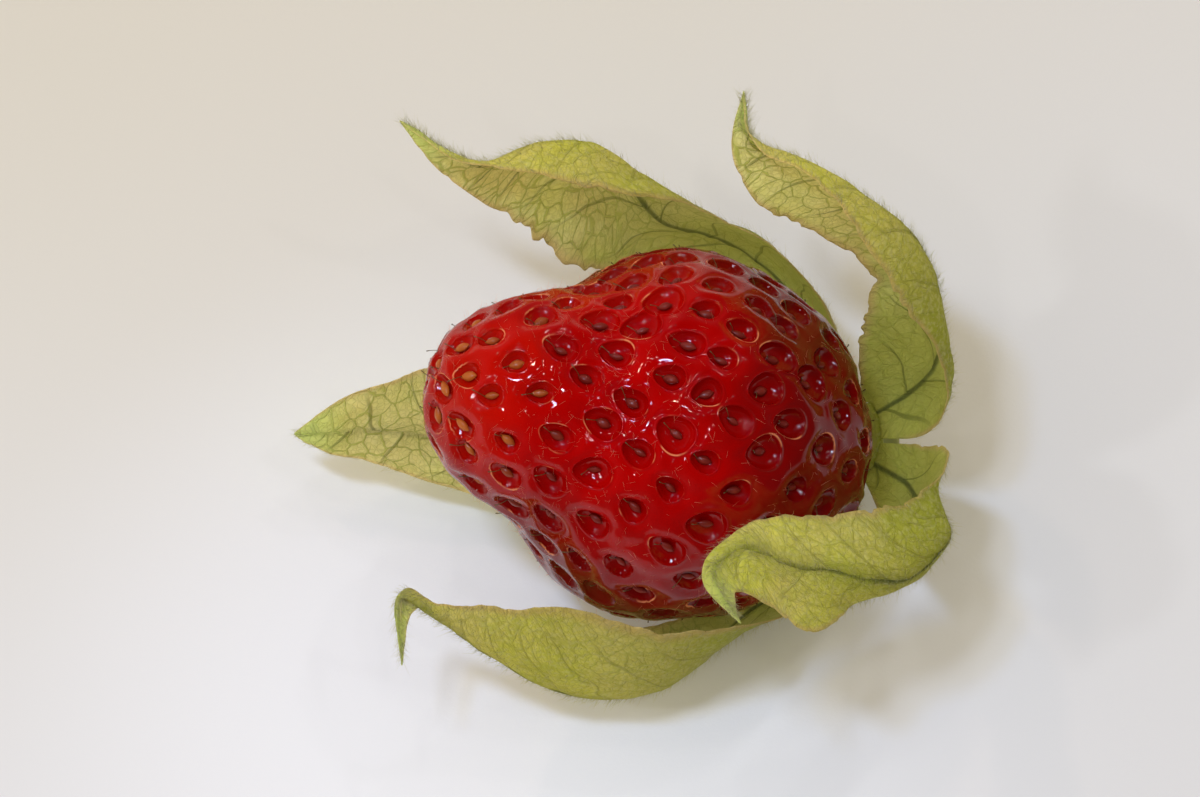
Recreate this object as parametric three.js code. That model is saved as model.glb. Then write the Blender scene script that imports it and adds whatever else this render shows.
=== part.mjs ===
// A ripe strawberry lying in an opened, five-lobed papery husk.
// Millimetres, +Z up, floor at z = 0. The berry's blunt end sits in the husk's cup at +X and its tip
// points to -X and upwards. The lobes are named by the side of the berry that each one stands on.
import * as THREE from 'three';
import { ConvexHull } from 'three/addons/math/ConvexHull.js';

// ---------------------------------------------------------------- driving dimensions

// The berry: a round-based, blunt-tipped fruit, 38 mm long and about 30 mm across.
const BERRY_CENTRE = new THREE.Vector3(0, 0, 17.2);
const TIP_RISE = THREE.MathUtils.degToRad(27.5); // the tip stands this far above level
const RADIUS_TERMS = [16, -0.1, 1.9, 1.1, 0.9, 0.5]; // radius in mm, as a cosine series from tip to base
const LOPSIDED_TERMS = [2.2, 0.1, 0.3, 0.1]; // how much the flatter side is drawn in
const FLAT_SIDE = THREE.MathUtils.degToRad(15.6); // where round the berry that flatter side is

// The seeds (achenes), each lying in its own pit, set out on a spiral.
const SEED_COUNT = 230;
const GOLDEN_ANGLE = Math.PI * (3 - Math.sqrt(5));
const TIP_CROWDING = 0.6; // seeds stand closer together towards the tip
const TIP_SEED_SCALE = 0.8; // and they and their pits are smaller there
const SEED_LENGTH = 1.45;
const SEED_WIDTH = 0.85;
const SEED_HEIGHT = 0.35;
const PIT_LENGTH = 2.9;
const PIT_WIDTH = 2.5;
const PIT_DEPTH = 0.65;
const PIT_SIDES = 8;
const SEED_SIDES = 6;

// The husk.
const CUP_GAP = 0.9; // from the berry's base to the inside of the cup
const CUP_RADIUS = 2.9;
const CUP_THICKNESS = 0.8;
const CUP_CROWN = 0.2; // added thickness at the middle
const CUP_RIM = 0.5; // width of the rounded rim
const CUP_LIP = 0.2; // how far the rim turns up towards the berry
const LOBE_ROOT_RADIUS = 3.25; // where the lobes start, just outside the cup
const LOBE_ROOT_GAP = THREE.MathUtils.degToRad(3); // kept free at each side of a lobe's root
const LOBE_THICKNESS = 0.5; // along the middle of a lobe
const LOBE_EDGE_THICKNESS = 0.32; // at its free edges and its tip
const LOBE_BULGE = 0.12; // how far each half of a lobe swells outwards, as a share of its width
const KEEL_SOFTNESS = 0.16; // rounding of the fold along the middle of a lobe
const LOBE_END = 0.99; // the sheet stops just short of the point where its three curves meet
const STEPS_ALONG = 30;
const STEPS_ACROSS = 8;
const STALK_RADIUS = 1.1;
const STALK_FOOT = 0.2; // the stalk is this much wider where it meets the cup
const STALK_FOOT_HEIGHT = 0.6;
const STALK_LENGTH = 2.2;
const STALK_GAP = 0.3;

// Each lobe is folded along a keel. It hangs on three curves that run from the cup to the tip: the
// edge that comes first going round the berry, the keel, and the edge that comes second. 'roots' are
// the angles between which the lobe leaves the cup, in degrees round the berry from +Y over the top.
const LOBES = {
  husk_lobe_back: {
    roots: [-48, 14],
    first: [
      [11.5, 8, 3.5], [6, 12.5, 4.5], [0, 14, 7], [-4, 13.9, 10], [-7.4, 13.2, 12.5],
      [-9.9, 14.1, 16], [-12.3, 15.2, 19], [-15.5, 16.5, 22.5], [-18.5, 18, 25.5], [-20.8, 20.3, 29],
    ],
    keel: [
      [14.5, 9, 5.5], [10, 15, 7], [5, 17.5, 10.3], [0.2, 17.3, 14.7], [-2.9, 20.1, 18.5],
      [-5.8, 22.1, 21.5], [-10, 20.9, 23], [-14, 18.1, 24.5], [-17, 18.5, 27], [-20.8, 20.3, 29],
    ],
    second: [
      [16, 5.5, 9], [14.5, 9, 11.5], [10.5, 13.5, 15], [6, 15.5, 17], [1.5, 16.5, 19.5],
      [-4.5, 16, 24], [-9, 16.5, 26], [-14, 16.5, 28], [-17.5, 17.5, 29], [-20.8, 20.3, 29],
    ],
  },
  husk_lobe_top: {
    roots: [14, 105],
    first: [
      [16.3, 4.8, 10.5], [16, 7.5, 12.5], [16.5, 9.5, 14.5], [17, 11.3, 17], [15, 12, 20.5],
      [11.5, 12.5, 24], [8.1, 13.2, 27], [6, 15.6, 29.5], [5.5, 18, 31.5], [6.5, 21.5, 32.5],
    ],
    keel: [
      [20.5, 3, 12.5], [22.5, 4, 16.5], [22.6, 6, 21.5], [22.2, 8.8, 25], [20, 11.8, 28],
      [15.8, 14, 30], [11.1, 15.8, 31.5], [7.5, 17, 32], [6.5, 18.5, 32], [6.5, 21.5, 32.5],
    ],
    second: [
      [21.4, -1.4, 14.6], [22.9, -0.4, 19.5], [22, 2, 24], [19, 4.5, 28], [17, 7, 30.5],
      [14, 11, 33.5], [11, 13.5, 35], [8, 15.5, 34], [6.5, 18.5, 32.5], [6.5, 21.5, 32.5],
    ],
  },
  husk_lobe_front: {
    roots: [105, 175],
    first: [
      [21, -1.9, 14], [22.9, -3.1, 17.5], [22, -6.5, 21], [19, -9.5, 23.5], [16, -10.5, 25.5],
      [12, -11.5, 26.5], [8.5, -12.5, 28.5], [5.4, -14.2, 29.5], [3.1, -18, 30], [6, -21.5, 30],
    ],
    keel: [
      [20, -4.3, 11.1], [20.6, -6.4, 13.8], [21.2, -8.4, 17.6], [23.3, -11.7, 20.6], [19.3, -16.3, 23.2],
      [13.5, -16.6, 27], [9.3, -16.2, 29.1], [6, -15.2, 30.6], [3.9, -17.7, 30.4], [6, -21.5, 30],
    ],
    second: [
      [17.5, -5.5, 9], [18.3, -8.5, 8.8], [19.5, -11, 11.5], [18.4, -13.1, 16.1], [16.2, -15.6, 19.4],
      [14.5, -18.3, 21.6], [11.6, -20.6, 24], [8.3, -19.4, 27.2], [5.6, -18.8, 29.3], [6, -21.5, 30],
    ],
  },
  husk_lobe_low_front: {
    roots: [175, 248],
    first: [
      [16, -6.5, 6.5], [14.5, -10.5, 7], [10.5, -14.8, 9.8], [5.5, -17.3, 15.7], [0, -18, 18],
      [-6, -16.2, 19.2], [-13, -16.3, 18], [-17.5, -16.3, 18], [-20.2, -15.4, 18.5],
      [-20.5, -21, 15.5],
    ],
    keel: [
      [15.5, -6.5, 3], [12.5, -10, 2], [7.5, -12.8, 2.8], [4.5, -16.2, 3.9], [0.2, -20.4, 4.8],
      [-6.5, -21.5, 5], [-13.5, -19.4, 10.8], [-18, -17, 16.8], [-21, -16, 18], [-20.5, -21, 15.5],
    ],
    second: [
      [14, -5.5, 1.5], [10.5, -9.5, 0.8], [6, -11.5, 1], [1.5, -13, 2], [-3.5, -14.5, 3.6],
      [-8, -15.5, 6], [-13, -16, 11], [-17.5, -16.5, 16], [-19.6, -17, 17.2], [-20.5, -21, 15.5],
    ],
  },
  husk_lobe_under: {
    roots: [248, 312],
    first: [
      [13.5, -3, 3], [9, -6, 1.4], [4, -8, 1.2], [-1, -8.5, 1.8], [-7, -7, 2.8],
      [-13, -4.2, 4.2], [-20, -2.4, 6], [-24, -1.1, 7], [-27.5, -0.5, 7.5], [-30, 1, 7.5],
    ],
    keel: [
      [13, 0.5, 2.2], [9, 0, 0.4], [4, -0.8, -0.2], [-1, -1, -0.3], [-7, -0.6, 0],
      [-13, 0.4, 2.6], [-19, 1.4, 4.8], [-24, 1.5, 6.6], [-27, 1, 7.3], [-30, 1, 7.5],
    ],
    second: [
      [12, 4.5, 2.4], [8, 7, 1.6], [3.5, 8, 1.4], [-1, 8.5, 2.2], [-7, 8, 3.6],
      [-13, 7.9, 5.8], [-18.5, 6.9, 8.2], [-22, 5, 8.8], [-26.5, 3.2, 8.8], [-30, 1, 7.5],
    ],
  },
};

// ---------------------------------------------------------------- the berry's own frame

// Unit vectors: along the berry to its tip, sideways, and up square to the first two.
const TO_TIP = new THREE.Vector3(-Math.cos(TIP_RISE), 0, Math.sin(TIP_RISE));
const SIDEWAYS = new THREE.Vector3(0, 1, 0);
const UPWARDS = new THREE.Vector3(Math.sin(TIP_RISE), 0, Math.cos(TIP_RISE));

// Distance from the berry's centre to its skin. 'polar' is the angle from the tip, 'round' the angle
// round the axis from +Y towards the top.
function skinRadius(polar, round) {
  const even = RADIUS_TERMS.reduce((sum, term, n) => sum + term * Math.cos(n * polar), 0);
  const lean = LOPSIDED_TERMS.reduce((sum, term, n) => sum + term * Math.cos(n * polar), 0);
  return even - lean * Math.sin(polar) * Math.cos(round - FLAT_SIDE);
}

function berryDirection(polar, round) {
  return new THREE.Vector3()
    .addScaledVector(TO_TIP, Math.cos(polar))
    .addScaledVector(SIDEWAYS, Math.sin(polar) * Math.cos(round))
    .addScaledVector(UPWARDS, Math.sin(polar) * Math.sin(round));
}

function skinPoint(polar, round) {
  return berryDirection(polar, round).multiplyScalar(skinRadius(polar, round)).add(BERRY_CENTRE);
}

function skinNormal(polar, round) {
  const step = 0.01;
  const along = skinPoint(polar + step, round).sub(skinPoint(polar - step, round));
  const across = skinPoint(polar, round + step).sub(skinPoint(polar, round - step));
  return across.cross(along).normalize();
}

// ---------------------------------------------------------------- seeds

// Polar angles of the seeds, spread evenly over the skin but closer towards the tip.
function seedAngles() {
  const steps = 400;
  const running = [0];
  for (let i = 0; i < steps; i += 1) {
    const polar = ((i + 0.5) * Math.PI) / steps;
    const crowding = 1 + TIP_CROWDING * (1 + Math.cos(polar)) / 2;
    running.push(running[i] + crowding * skinRadius(polar, 0) ** 2 * Math.sin(polar));
  }
  const seeds = [];
  let step = 0;
  for (let n = 0; n < SEED_COUNT; n += 1) {
    const wanted = (running[steps] * (n + 0.5)) / SEED_COUNT;
    while (running[step + 1] < wanted) step += 1;
    const part = (wanted - running[step]) / (running[step + 1] - running[step]);
    seeds.push([((step + part) * Math.PI) / steps, n * GOLDEN_ANGLE]);
  }
  return seeds;
}

// Seeds and pits keep their full size over most of the berry and shrink towards the tip.
function seedScale(polar) {
  return THREE.MathUtils.lerp(TIP_SEED_SCALE, 1, THREE.MathUtils.smoothstep(polar, 0, 1.2));
}

// Points on an ellipse round a seed, lifted by 'height' from the skin. Lengths run towards the tip.
function ellipseRound(polar, round, length, width, height, sides) {
  const centre = skinPoint(polar, round);
  const normal = skinNormal(polar, round);
  const along = skinPoint(polar - 0.01, round).sub(skinPoint(polar + 0.01, round)).normalize();
  const across = new THREE.Vector3().crossVectors(normal, along);
  const scale = seedScale(polar);
  const points = [];
  for (let i = 0; i < sides; i += 1) {
    const turn = ((i + 0.5) * 2 * Math.PI) / sides;
    points.push(
      centre
        .clone()
        .addScaledVector(along, (Math.cos(turn) * length * scale) / 2)
        .addScaledVector(across, (Math.sin(turn) * width * scale) / 2)
        .addScaledVector(normal, height),
    );
  }
  return points;
}

// The berry: skin, pits and seeds as one closed solid. The points are joined up by the hull of their
// directions from the berry's centre, which gives one even net of triangles over the whole fruit.
function berryGeometry() {
  const points = [];
  seedAngles().forEach(([polar, round]) => {
    const normal = skinNormal(polar, round);
    points.push(skinPoint(polar, round).addScaledVector(normal, SEED_HEIGHT - PIT_DEPTH));
    points.push(...ellipseRound(polar, round, SEED_LENGTH, SEED_WIDTH, -PIT_DEPTH, SEED_SIDES));
    points.push(...ellipseRound(polar, round, PIT_LENGTH, PIT_WIDTH, 0, PIT_SIDES));
  });
  const directions = points.map((point) => point.clone().sub(BERRY_CENTRE).normalize());
  const hull = new ConvexHull().setFromPoints(directions);
  const pointOf = new Map(directions.map((direction, i) => [direction, points[i]]));
  const corners = [];
  hull.faces.forEach((face) => {
    let edge = face.edge;
    do {
      const { x, y, z } = pointOf.get(edge.head().point);
      corners.push(x, y, z);
      edge = edge.next;
    } while (edge !== face.edge);
  });
  const geometry = new THREE.BufferGeometry();
  geometry.setAttribute('position', new THREE.Float32BufferAttribute(corners, 3));
  geometry.computeVertexNormals();
  return geometry;
}

// ---------------------------------------------------------------- husk lobes

// A point on the ring where the lobes leave the cup.
function rootPoint(round) {
  return BERRY_CENTRE.clone()
    .addScaledVector(TO_TIP, -(skinRadius(Math.PI, 0) + CUP_GAP + CUP_THICKNESS / 2))
    .addScaledVector(SIDEWAYS, LOBE_ROOT_RADIUS * Math.cos(round))
    .addScaledVector(UPWARDS, LOBE_ROOT_RADIUS * Math.sin(round));
}

function lobeCurves(lobe) {
  const [start, end] = lobe.roots.map(THREE.MathUtils.degToRad);
  const curve = (points, round) =>
    new THREE.CatmullRomCurve3(
      [rootPoint(round), ...points.map((p) => new THREE.Vector3(...p))],
      false,
      'catmullrom',
      0.5,
    );
  return {
    first: curve(lobe.first, start + LOBE_ROOT_GAP),
    keel: curve(lobe.keel, (start + end) / 2),
    second: curve(lobe.second, end - LOBE_ROOT_GAP),
  };
}

// A point on the middle of a lobe's sheet: 'along' runs 0..1 to the tip, 'across' -1..1 edge to edge.
function sheetPoint(curves, along, across) {
  const keel = curves.keel.getPoint(along);
  const toFirst = curves.first.getPoint(along).sub(keel);
  const toSecond = curves.second.getPoint(along).sub(keel);
  const rounded = Math.hypot(across, KEEL_SOFTNESS);
  const full = (Math.hypot(1, KEEL_SOFTNESS) + 1) / 2;
  const shareFirst = (rounded - across) / 2 / full;
  const shareSecond = (rounded + across) / 2 / full;
  const outwards = toFirst.clone().add(toSecond).negate();
  const swell = outwards.length() > 1e-6 ? outwards.normalize() : outwards;
  const width = across < 0 ? toFirst.length() : toSecond.length();
  const bulge = 4 * LOBE_BULGE * width * Math.abs(across) * (1 - Math.abs(across));
  return keel
    .addScaledVector(toFirst, shareFirst)
    .addScaledVector(toSecond, shareSecond)
    .addScaledVector(swell, bulge);
}

function sheetNormal(curves, along, across) {
  const step = 0.02;
  const a = Math.min(Math.max(along, step), 1 - 2 * step);
  const c = Math.min(Math.max(across, step - 1), 1 - step);
  const lengthwise = sheetPoint(curves, a + step, c).sub(sheetPoint(curves, a - step, c));
  const crosswise = sheetPoint(curves, a, c + step).sub(sheetPoint(curves, a, c - step));
  return lengthwise.cross(crosswise).normalize();
}

// A closed thin shell: an outer and an inner net of points, joined round the rim. The underside is
// pressed flat where it would go through the floor.
function lobeGeometry(lobe) {
  const curves = lobeCurves(lobe);
  const corners = [];
  const row = STEPS_ACROSS + 1;
  [1, -1].forEach((side) => {
    for (let i = 0; i <= STEPS_ALONG; i += 1) {
      for (let j = 0; j <= STEPS_ACROSS; j += 1) {
        const along = (LOBE_END * i) / STEPS_ALONG;
        const across = (2 * j) / STEPS_ACROSS - 1;
        const thinning = Math.abs(across) ** 2;
        const thickness = THREE.MathUtils.lerp(LOBE_THICKNESS, LOBE_EDGE_THICKNESS, thinning);
        const point = sheetPoint(curves, along, across);
        point.addScaledVector(sheetNormal(curves, along, across), (side * thickness) / 2);
        const floor = side > 0 ? 0 : LOBE_EDGE_THICKNESS;
        corners.push(point.x, point.y, Math.max(point.z, floor));
      }
    }
  });
  const net = (STEPS_ALONG + 1) * row;
  const faces = [];
  const quad = (a, b, c, d) => faces.push(a, b, c, a, c, d);
  for (let i = 0; i < STEPS_ALONG; i += 1) {
    for (let j = 0; j < STEPS_ACROSS; j += 1) {
      const k = i * row + j;
      quad(k, k + row, k + row + 1, k + 1);
      quad(net + k, net + k + 1, net + k + row + 1, net + k + row);
    }
    const left = i * row;
    const right = left + STEPS_ACROSS;
    quad(left, net + left, net + left + row, left + row);
    quad(right, right + row, net + right + row, net + right);
  }
  for (let j = 0; j < STEPS_ACROSS; j += 1) {
    const end = STEPS_ALONG * row + j;
    quad(j, j + 1, net + j + 1, net + j);
    quad(end, net + end, net + end + 1, end + 1);
  }
  const geometry = new THREE.BufferGeometry();
  geometry.setAttribute('position', new THREE.Float32BufferAttribute(corners, 3));
  geometry.setIndex(faces);
  geometry.computeVertexNormals();
  return geometry;
}

// ---------------------------------------------------------------- cup and stalk

// Turned shapes have their axis on +Y; this lays it along the berry's axis, away from the tip.
function placeOnAxis(mesh, beyondBase) {
  const away = TO_TIP.clone().negate();
  mesh.quaternion.setFromUnitVectors(new THREE.Vector3(0, 1, 0), away);
  mesh.position.copy(BERRY_CENTRE).addScaledVector(away, skinRadius(Math.PI, 0) + beyondBase);
  return mesh;
}

// A shallow dish with a raised rim, hollow side to the berry.
function cupGeometry() {
  const profile = [
    [0, 0],
    [CUP_RADIUS - CUP_RIM, 0],
    [CUP_RADIUS - CUP_RIM / 2, -CUP_LIP],
    [CUP_RADIUS, 0],
    [CUP_RADIUS, CUP_THICKNESS / 2],
    [CUP_RADIUS - CUP_RIM, CUP_THICKNESS],
    [0, CUP_THICKNESS + CUP_CROWN],
  ];
  return new THREE.LatheGeometry(profile.map(([r, y]) => new THREE.Vector2(r, y)), 24);
}

function stalkGeometry() {
  const profile = [
    [0, 0],
    [STALK_RADIUS + STALK_FOOT, 0],
    [STALK_RADIUS, STALK_FOOT_HEIGHT],
    [STALK_RADIUS, STALK_LENGTH],
    [0, STALK_LENGTH],
  ];
  return new THREE.LatheGeometry(profile.map(([r, y]) => new THREE.Vector2(r, y)), 16);
}

// ---------------------------------------------------------------- materials and assembly

function berrySkin() {
  return new THREE.MeshStandardMaterial({ color: 0xc01414, roughness: 0.25, metalness: 0 });
}

function huskPaper() {
  return new THREE.MeshStandardMaterial({ color: 0xa5a552, roughness: 0.8, metalness: 0 });
}

function stalkGreen() {
  return new THREE.MeshStandardMaterial({ color: 0x7a8a3c, roughness: 0.7, metalness: 0 });
}

function named(name, geometry, material) {
  const mesh = new THREE.Mesh(geometry, material);
  mesh.name = name;
  return mesh;
}

const strawberry = new THREE.Group();
strawberry.name = 'strawberry_in_husk';
strawberry.add(named('berry', berryGeometry(), berrySkin()));
Object.entries(LOBES).forEach(([name, lobe]) => {
  strawberry.add(named(name, lobeGeometry(lobe), huskPaper()));
});
strawberry.add(placeOnAxis(named('husk_cup', cupGeometry(), huskPaper()), CUP_GAP));
const stalkOffset = CUP_GAP + CUP_THICKNESS + CUP_CROWN + STALK_GAP;
strawberry.add(placeOnAxis(named('stalk_stub', stalkGeometry(), stalkGreen()), stalkOffset));

// The frame's origin is the middle of the bounding box's footprint, on the floor.
const bounds = new THREE.Box3().setFromObject(strawberry);
const middle = bounds.getCenter(new THREE.Vector3());
strawberry.position.set(-middle.x, -middle.y, -bounds.min.z);

export default strawberry;
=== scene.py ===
# A ripe strawberry lying in an opened papery husk, on a pale floor.
# Shapes are worked out in millimetres in the solids' own frame, with the berry's centre over x = y = 0,
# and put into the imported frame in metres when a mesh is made.
import math
from itertools import combinations, product

import bpy
import numpy as np
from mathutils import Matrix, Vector


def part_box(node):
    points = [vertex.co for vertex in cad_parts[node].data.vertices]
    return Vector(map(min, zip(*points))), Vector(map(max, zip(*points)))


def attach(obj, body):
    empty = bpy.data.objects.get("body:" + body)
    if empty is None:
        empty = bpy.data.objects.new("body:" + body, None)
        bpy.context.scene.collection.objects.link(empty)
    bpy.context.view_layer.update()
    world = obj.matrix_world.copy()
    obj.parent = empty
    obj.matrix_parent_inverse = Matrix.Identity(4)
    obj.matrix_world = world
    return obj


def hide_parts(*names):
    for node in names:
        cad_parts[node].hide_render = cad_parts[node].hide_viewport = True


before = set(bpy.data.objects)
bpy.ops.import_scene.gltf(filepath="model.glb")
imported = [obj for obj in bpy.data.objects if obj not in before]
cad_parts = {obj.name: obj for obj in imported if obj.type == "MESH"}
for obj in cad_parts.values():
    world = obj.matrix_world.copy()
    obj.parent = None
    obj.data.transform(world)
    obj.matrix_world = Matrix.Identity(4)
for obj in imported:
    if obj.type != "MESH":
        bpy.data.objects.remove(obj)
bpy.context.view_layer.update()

METRES = 0.001  # a millimetre in metres
SMALL_ANGLE = 0.01
RANDOM = np.random.default_rng(20)

# ------------ dimensions shared with the solids

BERRY_CENTRE = np.array([0.0, 0.0, 17.2])
TIP_RISE = math.radians(27.5)
RADIUS_TERMS = [16, -0.1, 1.9, 1.1, 0.9, 0.5]
LOPSIDED_TERMS = [2.2, 0.1, 0.3, 0.1]
FLAT_SIDE = math.radians(15.6)

SEED_COUNT = 230
GOLDEN_ANGLE = math.pi * (3 - math.sqrt(5))
TIP_CROWDING = 0.6
TIP_SEED_SCALE = 0.8
SEED_LENGTH = 1.45
SEED_WIDTH = 0.85
PIT_LENGTH = 2.9
PIT_WIDTH = 2.5
PIT_DEPTH = 0.65

CUP_GAP = 0.9
CUP_THICKNESS = 0.8
CUP_CROWN = 0.2
LOBE_ROOT_RADIUS = 3.25
LOBE_ROOT_GAP = math.radians(3)
LOBE_BULGE = 0.12
KEEL_SOFTNESS = 0.16
STALK_RADIUS = 1.1
STALK_FOOT = 0.2
STALK_LENGTH = 2.2
STALK_GAP = 0.3

# Each lobe hangs on three curves from the cup to its tip: its first edge going round the berry, its
# keel and its second edge. 'roots' are the angles round the berry between which it leaves the cup.
LOBES = {}
LOBES["husk_lobe_back"] = {
    "roots": (-48, 14),
    "tip": [-20.8, 20.3, 29],
    "first": [
        [11.5, 8, 3.5], [6, 12.5, 4.5], [0, 14, 7], [-4, 13.9, 10], [-7.4, 13.2, 12.5],
        [-9.9, 14.1, 16], [-12.3, 15.2, 19], [-15.5, 16.5, 22.5], [-18.5, 18, 25.5],
    ],
    "keel": [
        [14.5, 9, 5.5], [10, 15, 7], [5, 17.5, 10.3], [0.2, 17.3, 14.7], [-2.9, 20.1, 18.5],
        [-5.8, 22.1, 21.5], [-10, 20.9, 23], [-14, 18.1, 24.5], [-17, 18.5, 27],
    ],
    "second": [
        [16, 5.5, 9], [14.5, 9, 11.5], [10.5, 13.5, 15], [6, 15.5, 17], [1.5, 16.5, 19.5],
        [-4.5, 16, 24], [-9, 16.5, 26], [-14, 16.5, 28], [-17.5, 17.5, 29],
    ],
}
LOBES["husk_lobe_top"] = {
    "roots": (14, 105),
    "tip": [6.5, 21.5, 32.5],
    "first": [
        [16.3, 4.8, 10.5], [16, 7.5, 12.5], [16.5, 9.5, 14.5], [17, 11.3, 17], [15, 12, 20.5],
        [11.5, 12.5, 24], [8.1, 13.2, 27], [6, 15.6, 29.5], [5.5, 18, 31.5],
    ],
    "keel": [
        [20.5, 3, 12.5], [22.5, 4, 16.5], [22.6, 6, 21.5], [22.2, 8.8, 25], [20, 11.8, 28],
        [15.8, 14, 30], [11.1, 15.8, 31.5], [7.5, 17, 32], [6.5, 18.5, 32],
    ],
    "second": [
        [21.4, -1.4, 14.6], [22.9, -0.4, 19.5], [22, 2, 24], [19, 4.5, 28], [17, 7, 30.5],
        [14, 11, 33.5], [11, 13.5, 35], [8, 15.5, 34], [6.5, 18.5, 32.5],
    ],
}
LOBES["husk_lobe_front"] = {
    "roots": (105, 175),
    "tip": [6, -21.5, 30],
    "first": [
        [21, -1.9, 14], [22.9, -3.1, 17.5], [22, -6.5, 21], [19, -9.5, 23.5], [16, -10.5, 25.5],
        [12, -11.5, 26.5], [8.5, -12.5, 28.5], [5.4, -14.2, 29.5], [3.1, -18, 30],
    ],
    "keel": [
        [20, -4.3, 11.1], [20.6, -6.4, 13.8], [21.2, -8.4, 17.6], [23.3, -11.7, 20.6],
        [19.3, -16.3, 23.2], [13.5, -16.6, 27], [9.3, -16.2, 29.1], [6, -15.2, 30.6], [3.9, -17.7, 30.4],
    ],
    "second": [
        [17.5, -5.5, 9], [18.3, -8.5, 8.8], [19.5, -11, 11.5], [18.4, -13.1, 16.1], [16.2, -15.6, 19.4],
        [14.5, -18.3, 21.6], [11.6, -20.6, 24], [8.3, -19.4, 27.2], [5.6, -18.8, 29.3],
    ],
}
LOBES["husk_lobe_low_front"] = {
    "roots": (175, 248),
    "tip": [-20.5, -21, 15.5],
    "first": [
        [16, -6.5, 6.5], [14.5, -10.5, 7], [10.5, -14.8, 9.8], [5.5, -17.3, 15.7], [0, -18, 18],
        [-6, -16.2, 19.2], [-13, -16.3, 18], [-17.5, -16.3, 18], [-20.2, -15.4, 18.5],
    ],
    "keel": [
        [15.5, -6.5, 3], [12.5, -10, 2], [7.5, -12.8, 2.8], [4.5, -16.2, 3.9], [0.2, -20.4, 4.8],
        [-6.5, -21.5, 5], [-13.5, -19.4, 10.8], [-18, -17, 16.8], [-21, -16, 18],
    ],
    "second": [
        [14, -5.5, 1.5], [10.5, -9.5, 0.8], [6, -11.5, 1], [1.5, -13, 2], [-3.5, -14.5, 3.6],
        [-8, -15.5, 6], [-13, -16, 11], [-17.5, -16.5, 16], [-19.6, -17, 17.2],
    ],
}
LOBES["husk_lobe_under"] = {
    "roots": (248, 312),
    "tip": [-30, 1, 7.5],
    "first": [
        [13.5, -3, 3], [9, -6, 1.4], [4, -8, 1.2], [-1, -8.5, 1.8], [-7, -7, 2.8],
        [-13, -4.2, 4.2], [-20, -2.4, 6], [-24, -1.1, 7], [-27.5, -0.5, 7.5],
    ],
    "keel": [
        [13, 0.5, 2.2], [9, 0, 0.4], [4, -0.8, -0.2], [-1, -1, -0.3], [-7, -0.6, 0],
        [-13, 0.4, 2.6], [-19, 1.4, 4.8], [-24, 1.5, 6.6], [-27, 1, 7.3],
    ],
    "second": [
        [12, 4.5, 2.4], [8, 7, 1.6], [3.5, 8, 1.4], [-1, 8.5, 2.2], [-7, 8, 3.6],
        [-13, 7.9, 5.8], [-18.5, 6.9, 8.2], [-22, 5, 8.8], [-26.5, 3.2, 8.8],
    ],
}

# ------------ dimensions of the dressed model

SKIN_DIVISIONS = 96  # each of the 20 sides of the starting solid is cut into this many rows
UPPER_FINENESS = 1.6  # triangles at the top of the berry are this much smaller, those below larger
SEED_JITTER = 0.5  # either way along the skin
SEED_TURN = 0.45  # radians either way
SEED_SIZES = (0.85, 1.08)
SEED_SLIMNESS = (0.7, 0.95)
SEED_LIFT = 0.08  # of a seed's middle over the bottom of its pit
THREAD_LIFT = 0.16
PIT_SIZES = (0.78, 1.2)
PIT_STRETCHES = (0.95, 1.05)
PIT_NARROWNESS = (0.85, 1.0)
PIT_DEEPENING = 1.25  # the pits' rounded edges hide some of the solid's plain depth
PIT_BLEND = 0.07  # how softly the fields of neighbouring pits run together
PIT_FIELD_HEIGHT = 2.5  # keeps a pit's field near the skin
PIT_POINTEDNESS = 0.22
# Places and widths round a pit are counted so that 0 is its middle and 1 is its rim.
LIP_PLACE = 1.06
LIP_WIDTH = 0.085
LIP_HEIGHT = 0.11
COLLAR_PLACE = 0.5
COLLAR_WIDTH = 0.13
COLLAR_HEIGHT = 0.05  # the flesh rises a little where it holds the seed
PUFF_WIDTH = 0.45
PUFF_HEIGHT = 0.34
SKIN_DRAW_IN = 0.22  # keeps the puffed flesh at the solid's own size
SKIN_UNEVENNESS = 0.28
SKIN_GRAIN = 0.07
BERRY_HAIRS = 4500

LOBE_ROWS = 210
LOBE_COLUMNS = 96
LOBE_END = 0.996  # the rows stop just short of the point where all three curves meet
LOBE_THICKNESS = 0.17
LOBE_EDGE_THICKNESS = 0.1
EDGE_LENGTH = 48
EDGE_TRIM = 0.02  # shares of the half width that an edge is drawn in, evenly and by its tears
TEAR_DEPTH = 0.05
CRINKLE_HEIGHT = 0.16
FINE_CRINKLE_HEIGHT = 0.07
RUFFLE_HEIGHT = 0.4
VEIN_PUFF_HEIGHT = 0.1
KEEL_RIB_HEIGHT = 0.16
KEEL_RIB_WIDTH = 0.28
BRANCH_RIB_HEIGHT = 0.05
BRANCH_RIB_WIDTH = 0.2
BRANCH_SPACING = 5.2  # between the side veins, along the keel
BRANCH_SLANT = 0.75
BRANCH_OFFSET = 2.4  # the veins of one side leave the keel this far before those of the other
BRANCH_GAP = BRANCH_SPACING / math.hypot(1, BRANCH_SLANT)  # between them, straight across
LOBE_HAIRS = 3000
HAIR_CLEARANCE = 0.02  # of the lobes' hairs over the surface that the part lies on

FLOOR_DROP = 0.02  # keeps the floor just under the lobe that lies on it
FLOOR_HALF = 1500.0

# Lamps and camera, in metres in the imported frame.
LAMP_AIM = Vector((0, 0, 0.015))
LAMP_DISTANCE = 0.6
CAMERA_AIM = np.array([-4.805, 0.505, 18.397])  # in millimetres in the solids' frame
CAMERA_HEIGHT = math.radians(72)
CAMERA_DISTANCE = 0.42
CAMERA_LENS = 157.5

# ------------ small maths


def unit(vectors):
    return vectors / np.maximum(np.linalg.norm(vectors, axis=-1, keepdims=True), 1e-9)


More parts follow.
